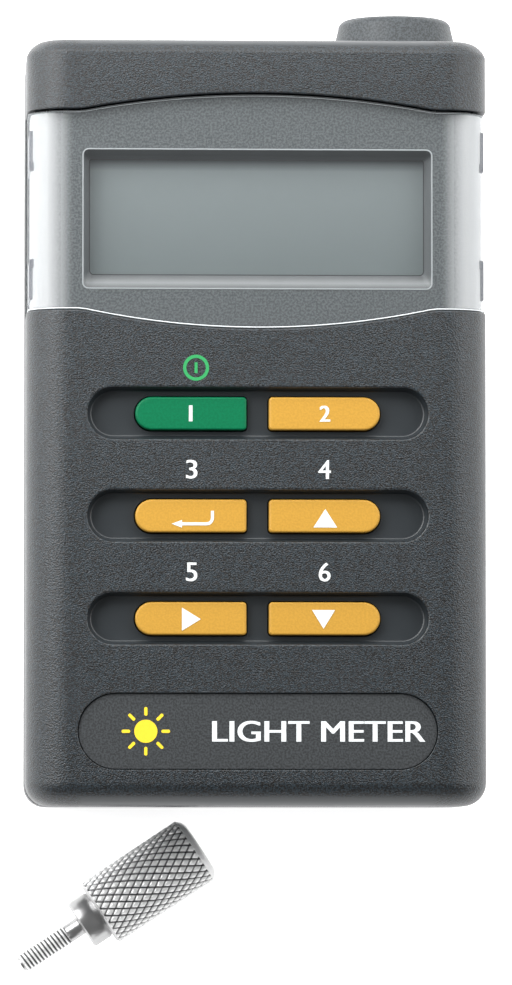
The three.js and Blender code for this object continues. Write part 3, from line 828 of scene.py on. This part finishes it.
def display():
    """Sloping frame round the liquid-crystal cell, the cell and its white carrier."""
    glass_low, glass_high = box_mm("lcd_glass")
    rim_z = FACE_Z - 1.5
    foot_z = glass_high.z + 0.05

    def opening(by, radius):
        size = (LCD_OPENING[0] + by, LCD_OPENING[1] + by)
        return rounded_outline(*size, [radius] * 4, (0, LCD_OPENING_Y), 6)

    def visible(by, radius):
        size = (LCD_VISIBLE[0] + by, LCD_VISIBLE[1] + by)
        return rounded_outline(*size, [radius, radius, 0.3, 0.3], (0, LCD_VISIBLE_Y), 6)

    back = opening(0.6, 1.2)
    skin = Skin()
    skin.strip(
        [
            at_height(back, foot_z),
            at_height(back, rim_z - 0.3),
            at_height(opening(0.1, 0.95), rim_z - 0.3),
            at_height(opening(0.0, 0.9), rim_z - 0.06),
            at_height(opening(-0.12, 0.84), rim_z),
            at_height(opening(-0.3, 0.75), rim_z),
            at_height(opening(-0.42, 0.7), rim_z - 0.06),
            at_height(opening(-0.5, 0.66), rim_z - 0.3),
            at_height(visible(0.5, 0.85), foot_z + 0.55),
            at_height(visible(0.12, 0.7), foot_z + 0.12),
            at_height(visible(0.0, 0.65), foot_z),
            at_height(back, foot_z),
        ],
        closed=True,
    )
    place(skin.build("lcd_frame", frame_look()), "meter", "bezel_plastic", "lcd_bezel")

    black = SLOT_LOOKS["component_black"]
    # A black ring under the foot of the frame: a painted shadow for the shaded gap round the cell.
    rim, hole = visible(0.06, 0.68), visible(-0.22, 0.54)
    painted_shadow_ring = slab("lcd_painted_shadow_ring", rim, [hole], foot_z - 0.04, foot_z + 0.03, black)
    place(painted_shadow_ring, "meter", "bezel_plastic")
    size = glass_high - glass_low
    outline = rounded_outline(size.x, size.y, [0.3] * 4, middle("lcd_glass").xy, 3)
    screen = slab("lcd_screen", outline, [], glass_low.z, glass_high.z, SLOT_LOOKS["lcd_glass"], 0.1)
    place(screen, "meter", "lcd_glass", "lcd_glass")

    carrier(back)


def carrier(hole):
    """White carrier: flanks close behind the clear window and a plate round the cell."""
    section = Section(FRONT_SIDE_R, FACE_Z, 1, 17.2, 0.6)
    plate_z = FACE_Z - 1.65
    count = 17
    rows = []
    for seam, shift in ((lower_seam, 0.3), (upper_seam, -0.4)):
        row, _ = section.seam_row(seam, shift)
        rows.append([Vector((p.x, p.y, min(p.z, plate_z))) for p in row])
    low, high = rows
    skin = Skin()
    for part in (slice(None, count), slice(-count, None)):
        skin.strip([[a.lerp(b, i / 4) for a, b in zip(low[part], high[part])] for i in range(5)])
    left = [low[count - 1].lerp(high[count - 1], i / 4) for i in range(5)]
    right = [low[-count].lerp(high[-count], i / 4) for i in range(5)]
    skin.fill([*right, *left[::-1]], [at_height(hole, plate_z)])
    made = skin.build("lcd_carrier_shell", carrier_look(), (0, 0, 1), 0.5)
    place(made, "meter", "carrier_plastic", "lcd_carrier")


# ---- Keys and lettering ----------------------------------------------------------------------
def keys():
    for key in KEYS:
        low, high = box_mm(key)
        skin = Skin()
        rows = [at_height(key_outline(key, 0.0), low.z)]
        for across, drop in reversed(arc_steps(0.3, 4)):
            rows.append(at_height(key_outline(key, across - 0.3), high.z - drop))
        skin.strip(rows, closed=True)
        skin.fill(rows[-1])
        skin.fill(rows[0])
        slot = "key_green" if key == "key_time" else "key_orange"
        place(skin.build(f"{key}_cap", SLOT_LOOKS[slot]), key, slot, key)


def lettering(name, text, centre, size, z, look, body, slot, bold=0.0):
    """Raised print: a line of text fitted to a box (width, height) about a centre."""
    curve = bpy.data.curves.new(name, "FONT")
    curve.body = text
    curve.extrude = 0.05
    curve.resolution_u = 5
    source = bpy.data.objects.new(f"{name}_line", curve)
    bpy.context.scene.collection.objects.link(source)
    flat = bpy.data.meshes.new_from_object(source.evaluated_get(bpy.context.evaluated_depsgraph_get()))
    bpy.data.objects.remove(source)
    low = Vector([min(v.co[i] for v in flat.vertices) for i in range(3)])
    high = Vector([max(v.co[i] for v in flat.vertices) for i in range(3)])
    middle_point = (low + high) / 2
    scale = ((size[0] - 2 * bold) / (high.x - low.x), size[1] / (high.y - low.y))
    skin = Skin()
    for step in (-1, 0, 1) if bold else (0,):
        points = []
        for vertex in flat.vertices:
            shift = vertex.co - middle_point
            rise = 0.03 if shift.z > 0 else -0.03
            x = centre[0] + shift.x * scale[0] + step * bold
            y = centre[1] + shift.y * scale[1]
            points.append((x, y, z + rise + 0.006 * step))
        ids = skin.add(points)
        skin.faces.extend(tuple(ids[i] for i in p.vertices) for p in flat.polygons)
    return place(skin.build(name, look), body, slot)


def legends():
    white = plain_look("legend_white", linear(222, 226, 226), 0.5, spread=0.02)
    green = plain_look("legend_green", linear(40, 150, 84), 0.5, spread=0.02)
    z = FACE_Z + 0.02

    def mark(name, outline, height, look, body, slot):
        place(slab(name, outline, [], height - 0.03, height + 0.03, look), body, slot)

    centre = (-8.6, 7.36)
    hole = circle_outline(1.35, centre)
    ring = slab("mark_power_ring", circle_outline(1.8, centre), [hole], z - 0.03, z + 0.03, green)
    place(ring, "meter", "case_plastic")
    bar = rounded_outline(0.42, 1.5, [0.1] * 4, centre, 3)
    mark("mark_power_bar", bar, z, green, "meter", "case_plastic")
    numbers = (
        ("number_three", "3", (-9.2, -6.7), 1.6),
        ("number_four", "4", (9.2, -6.7), 1.75),
        ("number_five", "5", (-9.2, -20.9), 1.6),
        ("number_six", "6", (9.2, -20.9), 1.65),
    )
    for name, text, centre, width in numbers:
        lettering(name, text, centre, (width, 2.6), z, white, "meter", "case_plastic", 0.045)

    key_z = box_mm("key_time")[1].z + 0.02
    lettering("number_one", "1", (-9.3, 1.1), (0.5, 2.2), key_z, white, "key_time", "key_green", 0.09)
    lettering("number_two", "2", (9.3, 1.1), (1.5, 2.2), key_z, white, "key_mode", "key_orange", 0.09)

    enter = [(-11.95, -14.2), (-10.5, -14.72), (-10.5, -14.42), (-7.1, -14.42)]
    enter += [(-7.1 + 1.02 * math.sin(a), -13.4 - 1.02 * math.cos(a)) for a in (0.3, 0.6, 0.9, 1.2, 1.57)]
    enter += [(-6.08, -12.4), (-6.5, -12.4)]
    enter += [(-7.1 + 0.6 * math.sin(a), -13.4 - 0.6 * math.cos(a)) for a in (1.57, 1.2, 0.9, 0.6, 0.3)]
    enter += [(-7.1, -14.0), (-10.5, -14.0), (-10.5, -13.68)]
    mark("mark_enter", enter, key_z, white, "key_enter", "key_orange")
    triangles = (
        ("up", [(7.7, -14.68), (11.0, -14.68), (9.35, -12.12)]),
        ("right", [(-10.5, -29.0), (-7.9, -27.4), (-10.5, -25.8)]),
        ("down", [(7.5, -26.1), (9.1, -28.7), (10.7, -26.1)]),
    )
    for name, outline in triangles:
        mark(f"mark_{name}", outline, key_z, white, f"key_{name}", "key_orange")


def name_plate():
    low, high = box_mm("name_plate")
    size = (high.x - low.x, high.y - low.y)
    centre = middle("name_plate").xy
    outline = pill_outline(*size, 0, centre)
    plate = slab("name_plate_face", outline, [], low.z, high.z, SLOT_LOOKS["plate"], 0.1)
    place(plate, "meter", "plate", "name_plate")
    white = plain_look("plate_white", linear(226, 230, 232), 0.5, spread=0.02)
    yellow = plain_look("plate_yellow", linear(236, 206, 44), 0.5, spread=0.02)
    z = high.z + 0.02
    place_and_size = ((8.4, centre.y), (29.5, 2.9))
    lettering("word_light_meter", "LIGHT METER", *place_and_size, z, white, "meter", "plate", 0.1)
    sun = (-15.5, centre.y)
    parts = {"sun_disc": circle_outline(1.6, sun)}
    for i in range(8):
        turn = math.pi * i / 4
        along = Vector((-math.sin(turn), math.cos(turn)))
        across = Vector((math.cos(turn), math.sin(turn)))
        ray = rounded_outline(0.45, 1.2, [0.2] * 4, (0, 2.75), 3)
        parts[f"sun_ray_{i + 1}"] = [tuple(Vector(sun) + across * x + along * y) for x, y in ray]
    for name, outline in parts.items():
        place(slab(name, outline, [], z - 0.03, z + 0.03, yellow), "meter", "plate")


# ---- Sensor and adapter ----------------------------------------------------------------------
def end_axis(x, y, z):
    """Puts a turned body on the upper end of the case, its axis along the case."""
    return Matrix.Translation(Vector((x, y, z)) * MM) @ Matrix.Rotation(-math.pi / 2, 4, "X")


def sensor():
    """The hood round the sensor, with a sloping side and a rounded rim, and its white diffuser."""
    _, high = box_mm("sensor_hood")
    centre = middle("sensor_hood")
    base, base_y = HOOD_BASE_R, HALF_LENGTH + 0.02
    top = high.y - base_y
    profile = [(6.0, 0.0), (base - 0.1, 0.0), (base, 0.1), (base - 0.05, 0.4), (base - 0.7, top - 1.2)]
    for i in range(8):
        angle = math.radians(17 + 73 * i / 7)
        profile.append((base - 2.05 + 1.4 * math.cos(angle), top - 1.4 + 1.4 * math.sin(angle)))
    profile += [(5.5, top), (5.3, top - 0.15), (5.3, 0.3), (6.0, 0.0)]
    axis = end_axis(centre.x + HOOD_SHIFT, base_y, centre.z)
    hood = lathe("sensor_hood_ring", profile, SLOT_LOOKS["hood_plastic"], axis)
    place(hood, "meter", "hood_plastic", "sensor_hood")

    low, high = box_mm("sensor_diffuser")
    centre = middle("sensor_diffuser")
    radius, depth = (high.x - low.x) / 2, high.y - low.y
    profile = [(0.01, 0), (radius, 0), (radius, depth * 0.75), (radius - 0.3, depth), (0.01, depth)]
    axis = end_axis(centre.x, low.y, centre.z)
    disc = lathe("sensor_diffuser_disc", profile, SLOT_LOOKS["diffuser"], axis)
    place(disc, "meter", "diffuser", "sensor_diffuser")


def adapter_radius(radius, z, angle):
    """Cuts the thread into the stud and two crossed sets of grooves into the grip."""
    turns = angle / (2 * math.pi)
    if z < STUD_RANGE[1] + 0.1 and radius > 1.2:
        phase = (z / THREAD_PITCH - turns) % 1
        return radius - THREAD_DEPTH * (1 - abs(2 * phase - 1))
    if GRIP_RANGE[0] <= z <= GRIP_RANGE[1] and radius > GRIP_R - 0.2:
        first = (turns * KNURL_COUNT + z * KNURL_RISE) % 1
        second = (turns * KNURL_COUNT - z * KNURL_RISE) % 1
        groove = max(0, 1 - min(first, 1 - first) / 0.24, 1 - min(second, 1 - second) / 0.24)
        return radius - KNURL_DEPTH * groove
    return radius


def adapter():
    """Threaded stud, neck, plain collar and diamond-knurled grip on one turned body."""
    direction = Vector((math.cos(ADAPTER_TURN), math.sin(ADAPTER_TURN), 0))
    tilt = direction.to_track_quat("Z", "X").to_matrix().to_4x4()
    axis = Matrix.Translation(Vector(ADAPTER_TIP) * MM) @ tilt

    stud_length = STUD_RANGE[1] - STUD_RANGE[0]
    grip_length = GRIP_RANGE[1] - GRIP_RANGE[0]
    profile = [(0.01, 0), (1.0, 0), (STUD_R - 0.25, STUD_RANGE[0])]
    profile += [(STUD_R, STUD_RANGE[0] + stud_length * i / 130) for i in range(1, 131)]
    profile += [(1.3, 8.0), (1.3, 10.0), (1.5, 10.15)]
    profile += [(COLLAR_R - 0.2, 10.2), (COLLAR_R, 10.4), (COLLAR_R, 12.9), (COLLAR_R - 0.15, 13.1)]
    profile += [(COLLAR_R - 0.15, 13.2), (GRIP_R - 0.5, 13.25), (GRIP_R - 0.05, 13.6)]
    profile += [(GRIP_R, GRIP_RANGE[0] + grip_length * i / 120) for i in range(121)]
    profile += [(GRIP_R - 0.05, 29.4), (GRIP_R - 0.6, 30.0), (3.7, 30.3), (0.01, 30.35)]
    look = SLOT_LOOKS["adapter_steel"]
    made = lathe("mounting_adapter_body", profile, look, axis, 240, adapter_radius)
    mark_grooves(made, axis.inverted())
    place(made, "mounting_adapter", "adapter_steel", "mounting_adapter")


def mark_grooves(piece, to_axis):
    """Stores how deep each point lies in the knurl or the thread, 0 to 1, and where it is polished."""
    # The groove value drives the painted shade that nickel_look puts in the grooves.
    groove = piece.data.attributes.new("groove", "FLOAT", "POINT").data
    polish = piece.data.attributes.new("polish", "FLOAT", "POINT").data
    for i, vertex in enumerate(piece.data.vertices):
        local = to_axis @ vertex.co / MM
        radius = math.hypot(local.x, local.y)
        if STUD_RANGE[0] + 0.1 < local.z < STUD_RANGE[1]:
            groove[i].value, polish[i].value = (STUD_R - radius) / THREAD_DEPTH, 0.35
        elif local.z < GRIP_RANGE[0] - 0.05:
            groove[i].value, polish[i].value = 0.58, 0.85
        elif local.z < GRIP_RANGE[1] + 0.05 and radius > GRIP_R - 0.5:
            groove[i].value, polish[i].value = (GRIP_R - radius) / KNURL_DEPTH, 0.2
        else:
            groove[i].value, polish[i].value = 0.0, 0.2


# ---- Scene -----------------------------------------------------------------------------------
def dress_kept_nodes():
    """Gives every CAD node the look of its slot in the record."""
    slots = {part["node"]: part["material_slot"] for part in frame["record"]["subparts"]}
    for node, piece in frame["nodes"].items():
        piece.data.materials.clear()
        piece.data.materials.append(SLOT_LOOKS[slots[node]])


def area_light(name, place_mm, aim_mm, size_mm, power):
    data = bpy.data.lights.new(name, "AREA")
    data.shape = "RECTANGLE"
    data.size, data.size_y = size_mm[0] * MM, size_mm[1] * MM
    data.energy = power
    lamp = bpy.data.objects.new(name, data)
    lamp.location = Vector(place_mm) * MM
    lamp.rotation_euler = (Vector(aim_mm) - Vector(place_mm)).to_track_quat("-Z", "Y").to_euler()
    lamp.visible_camera = False
    bpy.context.scene.collection.objects.link(lamp)


def studio():
    floor = Skin()
    half = 4000
    floor.face([(-half, -half, -0.02), (half, -half, -0.02), (half, half, -0.02), (-half, half, -0.02)])
    look = Look("floor", 0.9)
    look.speckle((0.9, 0.9, 0.9, 1), 0.004, 40)
    look.shader.inputs["Emission Color"].default_value = (1, 1, 1, 1)
    look.shader.inputs["Emission Strength"].default_value = 0.8
    floor.build("floor", look.material, (0, 0, 1))

    world = bpy.data.worlds.new("studio")
    bpy.context.scene.world = world
    world.use_nodes = True
    world.node_tree.nodes["Background"].inputs["Color"].default_value = (1, 1, 1, 1)
    world.node_tree.nodes["Background"].inputs["Strength"].default_value = 0.17
    area_light("key", (-10, 290, 260), (0, 30, 30), (560, 320), 2.0)
    area_light("left", (-240, 110, 210), (-20, 0, 25), (320, 300), 1.55)
    area_light("right", (290, 90, 190), (20, 0, 25), (300, 280), 0.9)
    area_light("foot", (0, -330, 80), (0, -50, 25), (420, 120), 0.3)
    bpy.context.scene.view_settings.view_transform = "Standard"


def camera():
    data = bpy.data.cameras.new("camera")
    data.lens = 265
    data.sensor_width = 36
    data.clip_end = 20
    eye = Vector((-46, -60, 1034))
    back = (eye - Vector((-0.3, -9.9, 34))).normalized()
    right = Vector((0, 1, 0)).cross(back).normalized()
    up = back.cross(right)
    made = bpy.data.objects.new("camera", data)
    rows = Matrix((right, up, back)).transposed().to_4x4()
    made.matrix_world = Matrix.Translation(eye * MM) @ rows
    bpy.context.scene.collection.objects.link(made)
    bpy.context.scene.camera = made


front_shell()
rear_shell()
window()
display()
keys()
legends()
name_plate()
sensor()
adapter()
dress_kept_nodes()
studio()
camera()
